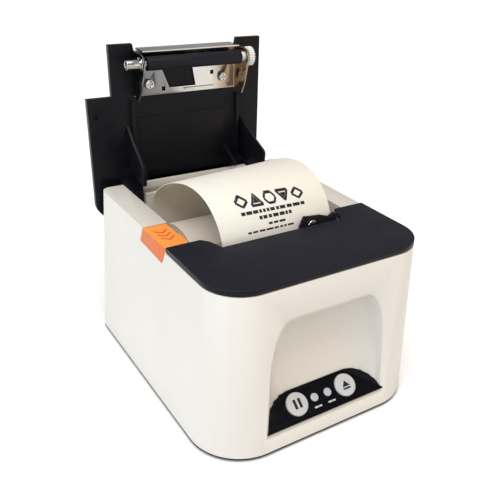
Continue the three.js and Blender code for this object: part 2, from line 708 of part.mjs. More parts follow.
// ---- Print mechanism -------------------------------------------------------
function mechanismFrame() {
  const right = outline([
    [-41, 58],
    [-12.5, 58],
    [-12.5, 69],
    [-6.5, 71],
    [-1.5, 84],
    [-1.5, 94],
    [-5, 103],
    [-41, 103],
  ]);
  const bore = PLATEN_CLOSED_Y;
  const left = outline([
    [-41, 58],
    [-12.5, 58],
    [6, 66],
    [6, 98],
    [bore + 8, 103],
    [bore + 3.8, PLATEN_CLOSED_Z],
    [bore + 2.7, PLATEN_CLOSED_Z - 2.7],
    [bore, PLATEN_CLOSED_Z - 3.8],
    [bore - 2.7, PLATEN_CLOSED_Z - 2.7],
    [bore - 3.8, PLATEN_CLOSED_Z],
    [bore - 6, 103],
    [-41, 103],
  ]);
  const frame = join(
    prismX(left, -47.6, -46.6),
    prismX(right, FRAME_RIGHT_X - SHEET_STEEL, FRAME_RIGHT_X),
    box(-47.6, FRAME_RIGHT_X, -35.2, -34.2, 76, 99),
    box(-47.6, FRAME_RIGHT_X, -41, -12.5, 58, 59),
  );
  return cut(
    frame,
    rodX(2.2, GEAR_RIGHT_X, 50, PINION_Y, PINION_Z, 16),
    rodX(1.8, GEAR_RIGHT_X, 50, IDLER_Y, IDLER_Z, 16),
  );
}

function heatSink() {
  const fin = box(PLATEN_LEFT_X, PLATEN_RIGHT_X, -24, -17, 82, 107);
  const bed = box(PLATEN_LEFT_X, PLATEN_RIGHT_X, -18, HEAD_FRONT_Y - CLEARANCE, 82, HEAD_TOP_Z);
  const grooves = [86, 98].map((z) => box(-40, 40, -25, -22, z - 1.5, z + 1.5));
  return cut(join(fin, bed), ...grooves);
}

function headSpring(x) {
  const start = new THREE.Vector3(x, -33.6, 92);
  const end = new THREE.Vector3(x, -25.4, 92);
  return coil(start, end, 2.8, 0.8, 4);
}

function latchPlate() {
  const shape = outline([
    [13, 102],
    [13, 112.5],
    [15.6, 118.6],
    [20, 118],
    [28, 117.4],
    [35, 115],
    [38.4, 117],
    [42, 116],
    [42, 102],
  ]);
  return cut(prismY(shape, -31.4, -29.8), rodY(2.1, -33, -28, 21.6, 112.6, 16));
}

function latchRivet() {
  const head = rodY(3.2, -33.2, -31.7, 21.6, 112.6, 20);
  return join(head, rodY(1.8, -32, -29.6, 21.6, 112.6, 12));
}

// ---- Electronics -----------------------------------------------------------
function mainBoard() {
  return join(
    box(-58, 58, -54, 74, BOARD_Z, BOARD_Z + 1.6),
    box(-14, 6, 2, 22, BOARD_Z + 1, BOARD_Z + 3.2),
    box(20, 40, -34, -20, BOARD_Z + 1, BOARD_Z + 5),
    rodZ(5, BOARD_Z + 1, BOARD_Z + 9, -44, -38, 16),
  );
}

function socket(x0, x1, z1, mouth) {
  return cut(box(x0, x1, 72, 90, 9.4, z1), mouth);
}

const powerJack = () => socket(-51, -39, 21, rodY(3.6, 78, 92, -45, 15.2, 20));
const dataPort = () => socket(-26.5, -13.7, 21, box(-24.4, -15.8, 78, 92, 11.2, 19.2));
const drawerPort = () => socket(-0.7, 15.7, 23, box(2.6, 12.4, 78, 92, 12.4, 19.4));

function switchBezel() {
  const frame = box(30, 50, 78, 91.2, 10, 24);
  return cut(frame, box(32, 48, 80, 95, 11.8, 22.2));
}

function powerRocker() {
  const profile = outline([[83, 13.2], [83, 20.8], [90.6, 20.8], [89.2, 17], [92.2, 13.2]]);
  return prismX(profile, 32.4, 47.6);
}

// ---- Assembly --------------------------------------------------------------
const SIDES = [["left", -1], ["right", 1]];

add("main_body", mainBody(), WHITE_SHELL);
add("base_plate", basePlate(), GALVANISED);
for (const [side, sign] of SIDES) {
  for (const [end, y] of [["front", -62], ["rear", 62]]) {
    add(`foot_${end}_${side}`, rodZ(6, 0, 1.5, sign * 54, y * 1.16, 20), DARK_RUBBER);
    add(`base_screw_${end}_${side}`, baseScrew(sign * 64, y), STEEL);
  }
}
add("front_lid", frontLid(), DARK_LID);
add("paper_bucket", paperBucket(), WHITE_SHELL);
add("paper_roll", tube(ROLL_RADIUS, ROLL_CORE_RADIUS, -PAPER_HALF, PAPER_HALF, ROLL_Y, ROLL_Z, 48), PAPER);
add("roll_core", tube(8.7, 6.5, -PAPER_HALF, PAPER_HALF, ROLL_Y, ROLL_Z, 28), CARDBOARD);
add("receipt_strip", receiptStrip(), PAPER);
add("release_lever", releaseLever(), ORANGE);
add("lever_pin", rodX(1.2, -69.3, -56.3, LEVER_PIVOT_Y, LEVER_PIVOT_Z, 16), STEEL);
add("lever_spring", leverSpring(), STEEL);
add("control_panel", controlPanel(), BLACK_GLOSS);
add("pause_button", panelButton(-BUTTON_X), GREY_BUTTON);
add("feed_button", panelButton(BUTTON_X), GREY_BUTTON);
add("power_led", panelLed(-LED_X), LED_LENS);
add("error_led", panelLed(LED_X), LED_LENS);
add("button_board", buttonBoard(), CIRCUIT_GREEN);
add("rear_cover", rearCover(), BLACK_GLOSS);
for (const [side, sign] of SIDES) add(`hinge_pin_${side}`, hingePin(sign), STEEL);
add("roll_guide_left", leftGuide(), BLACK_GLOSS);
add("roll_guide_right", rightGuide(), BLACK_GLOSS);
add("platen_bracket", platenBracket(), STEEL);
add("bracket_screw_left", bracketScrew(-31, 178.3), STEEL);
add("bracket_screw_right", bracketScrew(25.4, 178.8), STEEL);
add("tear_bar", tearBar(), STEEL);
const BORE_RADIUS = SHAFT_RADIUS + CLEARANCE;
add(
  "platen_roller",
  tube(PLATEN_RADIUS, BORE_RADIUS, PLATEN_LEFT_X, PLATEN_RIGHT_X, PLATEN_Y, PLATEN_Z, 36),
  DARK_RUBBER,
);
add("platen_shaft", rodX(SHAFT_RADIUS, -44, GEAR_RIGHT_X + 0.8, PLATEN_Y, PLATEN_Z), STEEL);
add("platen_bush_left", tube(BUSH_RADIUS, BORE_RADIUS, -51.5, -38.9, PLATEN_Y, PLATEN_Z, 28), STEEL);
add("platen_bush_right", tube(BUSH_RADIUS, BORE_RADIUS, 32.8, 36.6, PLATEN_Y, PLATEN_Z, 28), NYLON);
add("platen_gear", platenGear(), NYLON);
add("idler_gear", idlerGear(), NYLON);
add("idler_axle", rodX(1.5, GEAR_LEFT_X - 0.8, FRAME_RIGHT_X, IDLER_Y, IDLER_Z, 16), STEEL);
add("motor_pinion", motorPinion(), STEEL);
add("stepper_motor", stepperMotor(), GALVANISED);
add("mechanism_frame", mechanismFrame(), GALVANISED);
add("heat_sink", heatSink(), ALUMINIUM);
const heater = box(PLATEN_LEFT_X, PLATEN_RIGHT_X, HEAD_FRONT_Y, HEAD_FRONT_Y + 1.5, 84, HEAD_TOP_Z);
add("print_head", heater, CERAMIC);
add("head_spring_left", headSpring(-24), STEEL);
add("head_spring_right", headSpring(24), STEEL);
add("latch_plate", latchPlate(), BLACK_PLASTIC);
add("latch_rivet", latchRivet(), STEEL);
add("main_board", mainBoard(), CIRCUIT_GREEN);
add("power_jack", powerJack(), BLACK_PLASTIC);
add("data_port", dataPort(), ALUMINIUM);
add("drawer_port", drawerPort(), BLACK_PLASTIC);
add("switch_bezel", switchBezel(), BLACK_PLASTIC);
add("power_rocker", powerRocker(), BLACK_PLASTIC);

export default printer;
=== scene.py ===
"""Looks of a desktop receipt printer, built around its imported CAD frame."""
import json
import math
import random

import bmesh
import bpy
from mathutils import Matrix, Vector
from mathutils.bvhtree import BVHTree


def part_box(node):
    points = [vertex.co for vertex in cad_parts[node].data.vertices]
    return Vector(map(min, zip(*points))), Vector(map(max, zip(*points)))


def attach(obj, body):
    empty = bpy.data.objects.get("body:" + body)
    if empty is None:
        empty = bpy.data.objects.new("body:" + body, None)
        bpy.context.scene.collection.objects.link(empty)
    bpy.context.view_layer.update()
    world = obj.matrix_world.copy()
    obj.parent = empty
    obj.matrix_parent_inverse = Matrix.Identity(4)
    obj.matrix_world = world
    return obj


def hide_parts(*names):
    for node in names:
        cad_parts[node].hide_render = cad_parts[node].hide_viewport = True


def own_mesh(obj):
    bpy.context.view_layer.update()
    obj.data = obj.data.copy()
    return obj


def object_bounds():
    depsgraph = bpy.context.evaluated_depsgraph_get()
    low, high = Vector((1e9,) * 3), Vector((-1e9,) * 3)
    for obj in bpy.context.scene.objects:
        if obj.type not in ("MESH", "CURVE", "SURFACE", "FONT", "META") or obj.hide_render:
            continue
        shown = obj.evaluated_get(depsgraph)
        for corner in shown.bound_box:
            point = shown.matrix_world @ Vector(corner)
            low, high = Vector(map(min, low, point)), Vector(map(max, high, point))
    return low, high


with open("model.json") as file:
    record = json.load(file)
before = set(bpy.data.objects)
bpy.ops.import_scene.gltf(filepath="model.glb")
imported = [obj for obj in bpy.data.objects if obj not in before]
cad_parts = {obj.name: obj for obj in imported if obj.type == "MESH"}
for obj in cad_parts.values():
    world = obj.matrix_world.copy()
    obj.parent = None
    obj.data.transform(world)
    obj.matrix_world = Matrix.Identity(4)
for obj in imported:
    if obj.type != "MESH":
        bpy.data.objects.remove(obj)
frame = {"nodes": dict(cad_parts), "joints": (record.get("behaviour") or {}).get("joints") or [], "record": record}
CAD_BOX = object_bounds()
MM = 0.001
RECORD = frame["record"]
SLOT_OF = {part["node"]: part["material_slot"] for part in RECORD["subparts"]}
BODY_OF = {node: body for body, nodes in RECORD["behaviour"]["bodies"].items() for node in nodes}
JOINTS = {joint["name"]: joint for joint in frame["joints"]}


# ---- Materials -------------------------------------------------------------
def new_material(name):
    """A material with its node tree and its shader."""
    material = bpy.data.materials.new(name)
    material.use_nodes = True
    tree = material.node_tree
    return material, tree, tree.nodes["Principled BSDF"]


def noise_node(tree, scale, detail=4.0, stretch=(1, 1, 1)):
    """Noise in the piece's own space, finer as scale grows."""
    where = tree.nodes.new("ShaderNodeTexCoord")
    mapping = tree.nodes.new("ShaderNodeMapping")
    mapping.inputs["Scale"].default_value = stretch
    noise = tree.nodes.new("ShaderNodeTexNoise")
    noise.inputs["Scale"].default_value = scale
    noise.inputs["Detail"].default_value = detail
    tree.links.new(where.outputs["Object"], mapping.inputs["Vector"])
    tree.links.new(mapping.outputs["Vector"], noise.inputs["Vector"])
    return noise


def ramp_between(tree, source, low, high):
    """Maps a noise factor onto the stretch from low to high."""
    spread = tree.nodes.new("ShaderNodeMapRange")
    spread.inputs["From Min"].default_value = 0.3
    spread.inputs["From Max"].default_value = 0.7
    spread.inputs["To Min"].default_value = low
    spread.inputs["To Max"].default_value = high
    tree.links.new(source, spread.inputs["Value"])
    return spread.outputs["Result"]


def colour_between(tree, factor, first, second):
    """A colour that goes from first to second as the factor goes from 0 to 1."""
    mix = tree.nodes.new("ShaderNodeMix")
    mix.data_type = "RGBA"
    mix.inputs["A"].default_value = (*first, 1)
    mix.inputs["B"].default_value = (*second, 1)
    tree.links.new(factor, mix.inputs["Factor"])
    return mix.outputs["Result"]


def edge_wear_and_highlight(tree, radius):
    """A mask that is bright where the surface turns sharply outwards, used for edge wear and for a painted edge
    highlight.
    """
    bevel = tree.nodes.new("ShaderNodeBevel")
    bevel.inputs["Radius"].default_value = radius
    geometry = tree.nodes.new("ShaderNodeNewGeometry")
    dot = tree.nodes.new("ShaderNodeVectorMath")
    dot.operation = "DOT_PRODUCT"
    tree.links.new(bevel.outputs["Normal"], dot.inputs[0])
    tree.links.new(geometry.outputs["Normal"], dot.inputs[1])
    spread = tree.nodes.new("ShaderNodeMapRange")
    spread.inputs["From Min"].default_value = 0.995
    spread.inputs["From Max"].default_value = 0.85
    tree.links.new(dot.outputs["Value"], spread.inputs["Value"])
    return spread.outputs["Result"]


def bumped(tree, shader, source, strength, distance):
    """Turns a height signal into relief on the shader."""
    bump = tree.nodes.new("ShaderNodeBump")
    bump.inputs["Strength"].default_value = strength
    bump.inputs["Distance"].default_value = distance
    tree.links.new(source, bump.inputs["Height"])
    tree.links.new(bump.outputs["Normal"], shader.inputs["Normal"])


def surface(name, colour, rough, metal=0.0, vary=0.06, rough_vary=0.06, grain=900.0, bump=0.12,
            depth=0.00004, coat=0.0, stretch=(1, 1, 1), subsurface=0.0, specular=0.5, drift=22.0,
            wear=1.0):
    """A moulded, ground or rolled surface: soft colour drift, uneven gloss and a fine grain.

    Where wear is above 1, the edges are paler by that factor.
    """
    material, tree, shader = new_material(name)
    cloud = noise_node(tree, drift, 3.0)
    second = tuple(channel * (1 - vary) for channel in colour)
    finish = colour_between(tree, ramp_between(tree, cloud.outputs["Fac"], 0, 1), colour, second)
    if wear > 1:
        rubbed = tree.nodes.new("ShaderNodeMix")
        rubbed.data_type = "RGBA"
        rubbed.inputs["B"].default_value = (*(min(0.9, channel * wear) for channel in colour), 1)
        tree.links.new(edge_wear_and_highlight(tree, 0.0006), rubbed.inputs["Factor"])
        tree.links.new(finish, rubbed.inputs["A"])
        finish = rubbed.outputs["Result"]
    tree.links.new(finish, shader.inputs["Base Color"])
    smudge = noise_node(tree, 60.0, 4.0, stretch)
    gloss = ramp_between(tree, smudge.outputs["Fac"], rough - rough_vary, rough + rough_vary)
    tree.links.new(gloss, shader.inputs["Roughness"])
    fine = noise_node(tree, grain, 2.0, stretch)
    bumped(tree, shader, fine.outputs["Fac"], bump, depth)
    shader.inputs["Metallic"].default_value = metal
    shader.inputs["Coat Weight"].default_value = coat
    shader.inputs["Specular IOR Level"].default_value = specular
    if coat:
        shader.inputs["Coat Roughness"].default_value = 0.12
    if subsurface:
        shader.inputs["Subsurface Weight"].default_value = subsurface
        shader.inputs["Subsurface Radius"].default_value = (0.004, 0.003, 0.002)
        shader.inputs["Subsurface Scale"].default_value = 0.5
    return material


# Painted reflections: tones laid along the bracket's length, from dark grey through pale to brown.
PAINTED_REFLECTION_TONES = [
    (0.08, (0.13, 0.13, 0.14)), (0.40, (0.24, 0.24, 0.25)), (0.58, (0.66, 0.65, 0.64)),
    (0.82, (0.60, 0.58, 0.55)), (0.97, (0.30, 0.21, 0.14)),
]
PAINTED_REFLECTION_DRIFT = 0.16


def steel_with_painted_reflection():
    """Bright plated steel with painted reflections: its tone runs from a dull grey end to a clean and then a warm
    one, and its sharp edges carry a painted highlight.
    """
    material, tree, shader = new_material("bracket_painted_reflection")
    where = tree.nodes.new("ShaderNodeTexCoord")
    parts = tree.nodes.new("ShaderNodeSeparateXYZ")
    tree.links.new(where.outputs["Object"], parts.inputs["Vector"])
    low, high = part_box("platen_bracket")
    along = tree.nodes.new("ShaderNodeMapRange")
    along.inputs["From Min"].default_value = low.x
    along.inputs["From Max"].default_value = high.x
    tree.links.new(parts.outputs["X"], along.inputs["Value"])
    cloud = noise_node(tree, 30.0, 3.0)
    shift = tree.nodes.new("ShaderNodeMath")
    shift.operation = "MULTIPLY_ADD"
    shift.inputs[1].default_value = PAINTED_REFLECTION_DRIFT
    tree.links.new(cloud.outputs["Fac"], shift.inputs[0])
    tree.links.new(along.outputs["Result"], shift.inputs[2])
    ramp = tree.nodes.new("ShaderNodeValToRGB")
    ramp.color_ramp.elements[0].position = PAINTED_REFLECTION_TONES[0][0]
    ramp.color_ramp.elements[1].position = PAINTED_REFLECTION_TONES[-1][0]
    for place, _ in PAINTED_REFLECTION_TONES[1:-1]:
        ramp.color_ramp.elements.new(place)
    for element, (_, colour) in zip(ramp.color_ramp.elements, PAINTED_REFLECTION_TONES):
        element.color = (*colour, 1)
    tree.links.new(shift.outputs["Value"], ramp.inputs["Fac"])
    # Painted highlight: the sharp edges are lifted towards a pale grey.
    painted_edge_highlight = colour_between(tree, edge_wear_and_highlight(tree, 0.0007), (0, 0, 0), (0.75, 0.74, 0.72))
    lift = tree.nodes.new("ShaderNodeMix")
    lift.data_type = "RGBA"
    lift.blend_type = "LIGHTEN"
    lift.inputs["Factor"].default_value = 1.0
    tree.links.new(ramp.outputs["Color"], lift.inputs["A"])
    tree.links.new(painted_edge_highlight, lift.inputs["B"])
    tree.links.new(lift.outputs["Result"], shader.inputs["Base Color"])
    smudge = noise_node(tree, 70.0, 4.0)
    tree.links.new(ramp_between(tree, smudge.outputs["Fac"], 0.10, 0.24), shader.inputs["Roughness"])
    fine = noise_node(tree, 600.0, 2.0, (0.1, 1, 1))
    bumped(tree, shader, fine.outputs["Fac"], 0.08, 0.00002)
    shader.inputs["Metallic"].default_value = 1.0
    return material


MATERIALS = {
    "white_shell": surface("white_shell", (0.65, 0.605, 0.545), 0.36, vary=0.03, rough_vary=0.06,
                           grain=1800, bump=0.06, depth=0.00001, coat=0.25, specular=0.4, drift=9.0),
    "dark_lid": surface("dark_lid", (0.0095, 0.0092, 0.0175), 0.62, vary=0.25, grain=2600, bump=0.6,
                        depth=0.00007, specular=0.22, wear=2.0),
    "lid_rim": surface("lid_rim", (0.006, 0.006, 0.009), 0.36, vary=0.2, grain=900, specular=0.14),
    "black_gloss": surface("black_gloss", (0.0045, 0.0045, 0.0068), 0.36, vary=0.3, rough_vary=0.03,
                           grain=800, bump=0.06, depth=0.00002, specular=0.16, wear=3.0),
    "panel_black": surface("panel_black", (0.0035, 0.0035, 0.0045), 0.16, vary=0.3, rough_vary=0.05,
                           grain=700, bump=0.04, depth=0.00002, specular=0.10),
    "black_plastic": surface("black_plastic", (0.010, 0.010, 0.012), 0.48, vary=0.2, grain=1500,
                             bump=0.3, specular=0.25),
    "orange_lever": surface("orange_lever", (0.96, 0.31, 0.06), 0.40, vary=0.10, grain=1500,
                            bump=0.2, subsurface=0.1, specular=0.35, wear=1.1),
    # Painted shade: a darker copy of the lever's orange, for the faces that turn to the sides.
    "lever_side_painted_shade": surface("lever_side_painted_shade", (0.70, 0.165, 0.045), 0.5, vary=0.12, grain=1300, bump=0.25,
                          specular=0.3),
    "grey_button": surface("grey_button", (0.50, 0.50, 0.50), 0.5, vary=0.16, grain=1800, bump=0.3,
                           drift=900),
    "led_lens": surface("led_lens", (0.44, 0.45, 0.50), 0.2, vary=0.1, coat=0.5, subsurface=0.2),
    "polished_steel": surface("polished_steel", (0.66, 0.655, 0.64), 0.14, metal=1.0, vary=0.25,
                              rough_vary=0.07, grain=500, bump=0.12, depth=0.00003,
                              stretch=(0.15, 1, 1)),
    "galvanised": surface("galvanised", (0.46, 0.47, 0.48), 0.42, metal=1.0, vary=0.2,
                          rough_vary=0.12, grain=240, bump=0.2),
    "aluminium": surface("aluminium", (0.62, 0.63, 0.65), 0.36, metal=1.0, vary=0.08, grain=900,
                         bump=0.25, stretch=(0.05, 1, 1)),
    "dark_rubber": surface("dark_rubber", (0.0065, 0.0065, 0.0125), 0.5, vary=0.2, rough_vary=0.08,
                           grain=1600, bump=0.45, depth=0.00005, specular=0.22),
    "nylon": surface("nylon", (0.80, 0.79, 0.76), 0.45, vary=0.05, grain=1200, bump=0.15,
                     subsurface=0.2),
    "paper": surface("paper", (0.80, 0.735, 0.64), 0.75, vary=0.03, grain=1400, bump=0.25,
                     depth=0.00003, specular=0.2, subsurface=0.3),
    "cardboard": surface("cardboard", (0.36, 0.23, 0.12), 0.85, vary=0.25, grain=420, bump=0.6,
                         depth=0.0001),
    "ceramic": surface("ceramic", (0.66, 0.62, 0.50), 0.2, vary=0.05, coat=0.5),
    "circuit_green": surface("circuit_green", (0.01, 0.13, 0.055), 0.35, vary=0.3, grain=380,
                             bump=0.2, coat=0.3),
}
# The bracket's steel, with painted reflections along it and a painted highlight on its edges.
BRACKET_PAINTED_REFLECTION = steel_with_painted_reflection()
INK = surface("thermal_ink", (0.020, 0.018, 0.024), 0.6, vary=0.3, grain=900, bump=0.1, specular=0.2)
LEGEND_WHITE = surface("legend_white", (0.55, 0.55, 0.58), 0.5, vary=0.15)
LEGEND_BLACK = surface("legend_black", (0.012, 0.012, 0.014), 0.5, vary=0.2, specular=0.2)
DEEP_ORANGE = surface("deep_orange", (0.66, 0.135, 0.02), 0.5, vary=0.15, grain=1200)


# ---- Mesh helpers ----------------------------------------------------------
WELD = 2e-6
FLAT_ENOUGH = math.radians(1.2)


def link(name, mesh):
    """An object in the scene for a mesh."""
    piece = bpy.data.objects.new(name, mesh)
    bpy.context.scene.collection.objects.link(piece)
    return piece


def apply_modifiers(piece):
    """Makes the modified shape the piece's own mesh."""
    graph = bpy.context.evaluated_depsgraph_get()
    mesh = bpy.data.meshes.new_from_object(piece.evaluated_get(graph))
    piece.modifiers.clear()
    piece.data = mesh


def dress(piece, body, slot, *finishes):
    """Gives a piece its body and its materials, by default the one that its record slot names."""
    piece.data.materials.clear()
    for finish in finishes or (MATERIALS[slot],):
        piece.data.materials.append(finish)
    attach(piece, body)
    return piece


def round_edges(piece, width, segments=3, angle=30):
    """Rounds the edges that turn by more than angle degrees; width is in mm."""
    rounding = piece.modifiers.new("round", "BEVEL")
    rounding.width = width * MM
    rounding.segments = segments
    rounding.limit_method = "ANGLE"
    rounding.angle_limit = math.radians(angle)
    rounding.harden_normals = True
    piece.data.polygons.foreach_set("use_smooth", [True] * len(piece.data.polygons))
    apply_modifiers(piece)


def cleaned(node):
    """The node's own mesh with shared vertices and no needless edges in its flat faces."""
    mesh = frame["nodes"][node].data.copy()
    work = bmesh.new()
    work.from_mesh(mesh)
    bmesh.ops.remove_doubles(work, verts=work.verts, dist=WELD)
    bmesh.ops.dissolve_limit(work, angle_limit=FLAT_ENOUGH, verts=work.verts, edges=work.edges)
    work.to_mesh(mesh)
    work.free()
    return mesh


def finer(node, bevel=0.25, *finishes):
    """The node's own solid with clean faces and small rounded edges."""
    piece = link("fine_" + node, cleaned(node))
    round_edges(piece, bevel)
    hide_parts(node)
    return dress(piece, BODY_OF[node], SLOT_OF[node], *finishes)


def paint_faces(piece, rule):
    """Gives the second material to the faces that the rule picks."""
    for face in piece.data.polygons:
        face.material_index = 1 if rule(face) else 0


def solid_from(name, points, faces):
    """A linked solid with all its faces turned outwards."""
    mesh = bpy.data.meshes.new(name)
    mesh.from_pydata(points, [], faces)
    work = bmesh.new()
    work.from_mesh(mesh)
    bmesh.ops.recalc_face_normals(work, faces=work.faces)
    work.to_mesh(mesh)
    work.free()
    return link(name, mesh)


def prism(name, outline, height, place):
    """A flat outline with thickness, stood in space by the place matrix."""
    count = len(outline)
    points = [place @ Vector((u, v, w)) for w in (0, height) for u, v in outline]
    sides = [(i, (i + 1) % count, count + (i + 1) % count, count + i) for i in range(count)]
    caps = [tuple(range(count))[::-1], tuple(range(count, 2 * count))]
    return solid_from(name, points, sides + caps)


def joined(name, pieces):
    """One object out of several fresh ones."""
    work = bmesh.new()
    for piece in pieces:
        work.from_mesh(piece.data)
        bpy.data.objects.remove(piece)
    mesh = bpy.data.meshes.new(name)
    work.to_mesh(mesh)
    work.free()
    return link(name, mesh)


def turned_about_x(name, rings, axis, count):
    """A ring-shaped solid: (x, radius) rings round an axis along x, joined in order and closed."""
    points = []
    for x, radius in rings:
        for k in range(count):
            angle = 2 * math.pi * k / count
            points.append((x, axis.y + radius * math.cos(angle), axis.z + radius * math.sin(angle)))
    faces = []
    for i in range(len(rings)):
        j = (i + 1) % len(rings)
        for k in range(count):
            m = (k + 1) % count
            faces.append((i * count + k, i * count + m, j * count + m, j * count + k))
    return solid_from(name, points, faces)


def tree_of(node):
    """The node's surface, ready for rays."""
    work = bmesh.new()
    work.from_mesh(frame["nodes"][node].data)
    tree = BVHTree.FromBMesh(work)
    work.free()
    return tree


def half_height(node):
    low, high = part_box(node)
    return (high.z - low.z) / 2


def middle_of(node):
    low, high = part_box(node)
    return (low + high) / 2


TURN_TO_X = Matrix.Rotation(math.radians(90), 4, "Z") @ Matrix.Rotation(math.radians(90), 4, "X")
TURN_TO_Y = Matrix.Rotation(math.radians(-90), 4, "X")
UP = Vector((0, 0, 1))
REARWARD = Vector((0, 1, 0))
BVH = {node: tree_of(node) for node in ("release_lever", "receipt_strip", "control_panel", "power_rocker")}


def circle(radius, count):
    """The outline of a disc, as count points."""
    turns = [2 * math.pi * i / count for i in range(count)]
    return [(radius * math.cos(t), radius * math.sin(t)) for t in turns]


def bar(u0, u1, v0, v1):
    """The outline of a rectangle."""
    return [(u0, v0), (u1, v0), (u1, v1), (u0, v1)]


# ---- Front lid -------------------------------------------------------------
LID_TOP_TILT = 0.35


def front_lid():
    """Matte top with a glossy side band, as where the textured skin ends at the edge."""
    piece = finer("front_lid", 0.5, MATERIALS["dark_lid"], MATERIALS["lid_rim"])
    paint_faces(piece, lambda face: face.normal.z < LID_TOP_TILT)


# ---- Release lever ---------------------------------------------------------
LEVER_SIDE_TILT = 0.75
CHEVRON_FROM_LEFT = 7.5 * MM
CHEVRON_FROM_FRONT = 10.5 * MM
CHEVRON_PITCH = 5.2 * MM
CHEVRON_REACH = 4.2 * MM
CHEVRON_HEIGHT = 0.42 * MM
SUNK = 0.1 * MM


def chevron(middle, tip):
    """The outline of a chevron whose point is near (middle, tip)."""
    near, far = tip + 1.2 * MM, tip + 2.8 * MM
    return [
        (middle, tip - 2.6 * MM), (middle + CHEVRON_REACH, near), (middle + CHEVRON_REACH, far),
        (middle, tip - 1 * MM), (middle - CHEVRON_REACH, far), (middle - CHEVRON_REACH, near),
    ]


def release_lever():
    """The lever, with three raised chevrons that show which way it is pulled."""
    handle = finer("release_lever", 0.6, MATERIALS["orange_lever"], MATERIALS["lever_side_painted_shade"])
    # Painted shade: the faces turned to the sides get the darker orange.
    paint_faces(handle, lambda face: abs(face.normal.x) > LEVER_SIDE_TILT)
    low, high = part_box("release_lever")
    middle = low.x + CHEVRON_FROM_LEFT
    marks = []
    for step in range(3):
        tip = low.y + CHEVRON_FROM_FRONT + step * CHEVRON_PITCH
        top = BVH["release_lever"].ray_cast(Vector((middle, tip, high.z + 10 * MM)), -UP)[0].z
        place = Matrix.Translation((0, 0, top - SUNK))
        marks.append(prism("mark", chevron(middle, tip), CHEVRON_HEIGHT, place))
    piece = joined("lever_chevrons", marks)
    round_edges(piece, 0.12, 2)
    dress(piece, "lever", "orange_lever", DEEP_ORANGE)


# ---- Receipt strip ---------------------------------------------------------
INK_LIFT = 0.04 * MM
STROKE_STEP = 1.2 * MM
STROKE_WIDTH = 1.2 * MM
MARK_HALF = 4 * MM
MARK_PITCH = 9.8 * MM
MARK_FIRST_X = -19.2 * MM
MARK_LOW_Z = 126.2 * MM
MARK_HIGH_Z = 130.8 * MM
HEADING = ("diamond", "peak", "hexagon", "dip", "diamond")
# Each row of small print: its left and right ends, its foot and its height, in mm.
PRINT_ROWS = (
    (-22.5, 22.5, 122.6, 1.6),
    (-11.5, 11.5, 119.4, 1.8),
    (-6.2, 8.0, 116.0, 1.2),
    (-21.5, 13.0, 113.0, 1.1),
)


def front_of_strip(x, z):
    """The place and the outward direction on the strip's front face at a height."""
    ahead = CAD_BOX[0][1]
    spot, normal, *_ = BVH["receipt_strip"].ray_cast(Vector((x, ahead, z)), REARWARD)
    return spot, normal


def patch(work, corners, across, along):
    """A thin patch of print laid on the strip, from four (x, height) corners."""
    a, b, c, d = (Vector(corner) for corner in corners)
    rows = []
    for j in range(along + 1):
        v = j / along
        start, end = a.lerp(d, v), b.lerp(c, v)
        row = []
        for i in range(across + 1):
            spot, normal = front_of_strip(*start.lerp(end, i / across))
            row.append(work.verts.new(spot + normal * INK_LIFT))
        rows.append(row)
    for j in range(along):
        for i in range(across):
            work.faces.new((rows[j][i], rows[j][i + 1], rows[j + 1][i + 1], rows[j + 1][i]))


def stroke(work, start, end, width):
    """A straight stroke of print between two (x, height) points."""
    a, b = Vector(start), Vector(end)
    side = (b - a).orthogonal().normalized() * width / 2
    steps = max(2, round((b - a).length / STROKE_STEP))
    patch(work, (a - side, b - side, b + side, a + side), steps, 2)


def print_mark(work, kind, x, low, high):
    """One plain shape of the printed heading; the triangles have a filled middle."""
    half = MARK_HALF
    middle = (low + high) / 2
    corners = {
        "diamond": ((x - half, middle), (x, high), (x + half, middle), (x, low)),
        "peak": ((x - half, low), (x, high), (x + half, low)),
        "dip": ((x - half, high), (x, low), (x + half, high)),
        "hexagon": ((x - half, middle), (x - half / 2, high), (x + half / 2, high), (x + half, middle),
                    (x + half / 2, low), (x - half / 2, low)),
    }[kind]
    for start, end in zip(corners, corners[1:] + corners[:1]):
        stroke(work, start, end, STROKE_WIDTH)
    if kind in ("peak", "dip"):
        inner = [Vector(corner).lerp(Vector((x, middle)), 0.45) for corner in corners]
        patch(work, (inner[0], inner[1], inner[1], inner[2]), 4, 4)


def print_row(work, dice, x0, x1, low, height):
    """A row of small bars of uneven length, as a line of small print seen from afar."""
    x = x0
    while x < x1 - 1.2 * MM:
        length = min(dice.uniform(1.6, 5.2) * MM, x1 - x)
        patch(work, bar(x, x + length, low, low + height), 4, 2)
        x += length + dice.uniform(0.6, 1.1) * MM


def receipt_strip():
    """A sheet of paper from the roll over the lid's edge, with a plain printed heading."""
    piece = finer("receipt_strip", 0.04, MATERIALS["paper"], INK)
    dice = random.Random(7)
    work = bmesh.new()
    for place, kind in enumerate(HEADING):
        print_mark(work, kind, MARK_FIRST_X + place * MARK_PITCH, MARK_LOW_Z, MARK_HIGH_Z)
    for row in PRINT_ROWS:
        print_row(work, dice, *(size * MM for size in row))
    for face in work.faces:
        face.material_index = 1
        face.smooth = True
    work.from_mesh(piece.data)
    bmesh.ops.recalc_face_normals(work, faces=work.faces)
    work.to_mesh(piece.data)
    work.free()
    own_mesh(piece)


